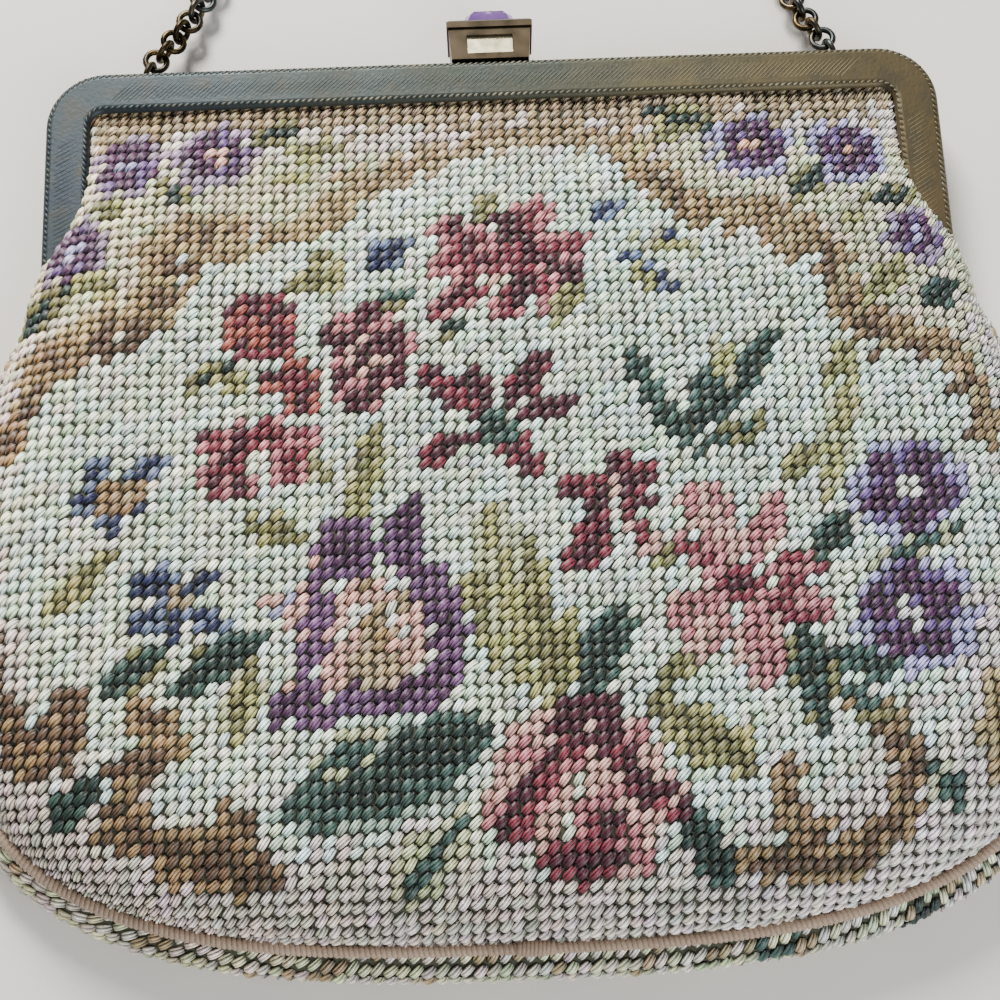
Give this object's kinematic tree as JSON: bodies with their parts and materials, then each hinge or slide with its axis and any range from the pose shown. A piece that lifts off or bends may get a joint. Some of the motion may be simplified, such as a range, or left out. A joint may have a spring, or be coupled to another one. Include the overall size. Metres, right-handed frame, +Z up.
{
  "type": "needlework frame bag",
  "caption": "Small flat bag of tent stitch needlework on a hinged metal frame, with a push button clasp, piped seam and ring chain handle.",
  "frame": {"origin": "under the middle of the bag without its chain, on the surface that it lies on", "axes": "+X across the bag, +Y from its bottom seam to the clasp, +Z up from the back through the front"},
  "size_m": [0.1776, 0.2389, 0.0189],
  "materials": {
    "frame_metal": "aged grey bronze, engine turned, rope edged",
    "chain_metal": "dark antique brass with worn gold edges",
    "clasp_metal": "dark antique brass",
    "polished_plate": "worn bright pale brass",
    "purple_stone": "step cut purple glass",
    "spring_steel": "plain wire",
    "needlework": "wool tent stitch on canvas, flower pattern on cream",
    "lining": "satin",
    "piping_cord": "ribbed twisted cord, tan",
    "paper_cord": "twisted paper"
  },
  "bodies": {
    "bag": {"back_frame": "frame_metal", "back_panel": "needlework", "front_panel_lower": "needlework", "front_panel_fold": "needlework", "back_lining": "lining", "front_lining_lower": "lining", "bottom_piping": "piping_cord", "piping_join": "piping_cord", "hinge_pin_left": "frame_metal", "hinge_pin_right": "frame_metal", "hinge_washers": "frame_metal", "back_channel_packing": "paper_cord", "catch_hook": "frame_metal", "chain_lug_left": "chain_metal", "chain_lug_right": "chain_metal"},
    "front_half": {"front_frame": "frame_metal", "front_panel_upper": "needlework", "front_lining_upper": "lining", "front_channel_packing": "paper_cord", "clasp_housing": "clasp_metal", "clasp_lip": "clasp_metal", "clasp_front_plate": "polished_plate", "clasp_springs": "spring_steel"},
    "clasp_button": {"stone_bezel": "clasp_metal", "clasp_stone": "purple_stone", "clasp_plunger": "clasp_metal"},
    "handle": {"end_ring_left": "chain_metal", "end_ring_right": "chain_metal", "handle_chain": "chain_metal"}
  },
  "joints": [
    {"name": "frame_open", "type": "hinge", "parent": "bag", "child": "front_half", "pos_m": [0, 0.02465, 0.007], "axis": [1, 0, 0], "range_deg": [0, 75], "deforming": ["front_panel_fold"]},
    {"name": "clasp_press", "type": "slide", "parent": "front_half", "child": "clasp_button", "axis": [0, -1, 0], "range_m": [0, 0.0012], "stiffness_N_per_m": 400, "springref_m": -0.001},
    {"name": "handle_swing", "type": "hinge", "parent": "bag", "child": "handle", "pos_m": [0, 0.07315, 0.00465], "axis": [1, 0, 0], "range_deg": [0, 80]}
  ]
}
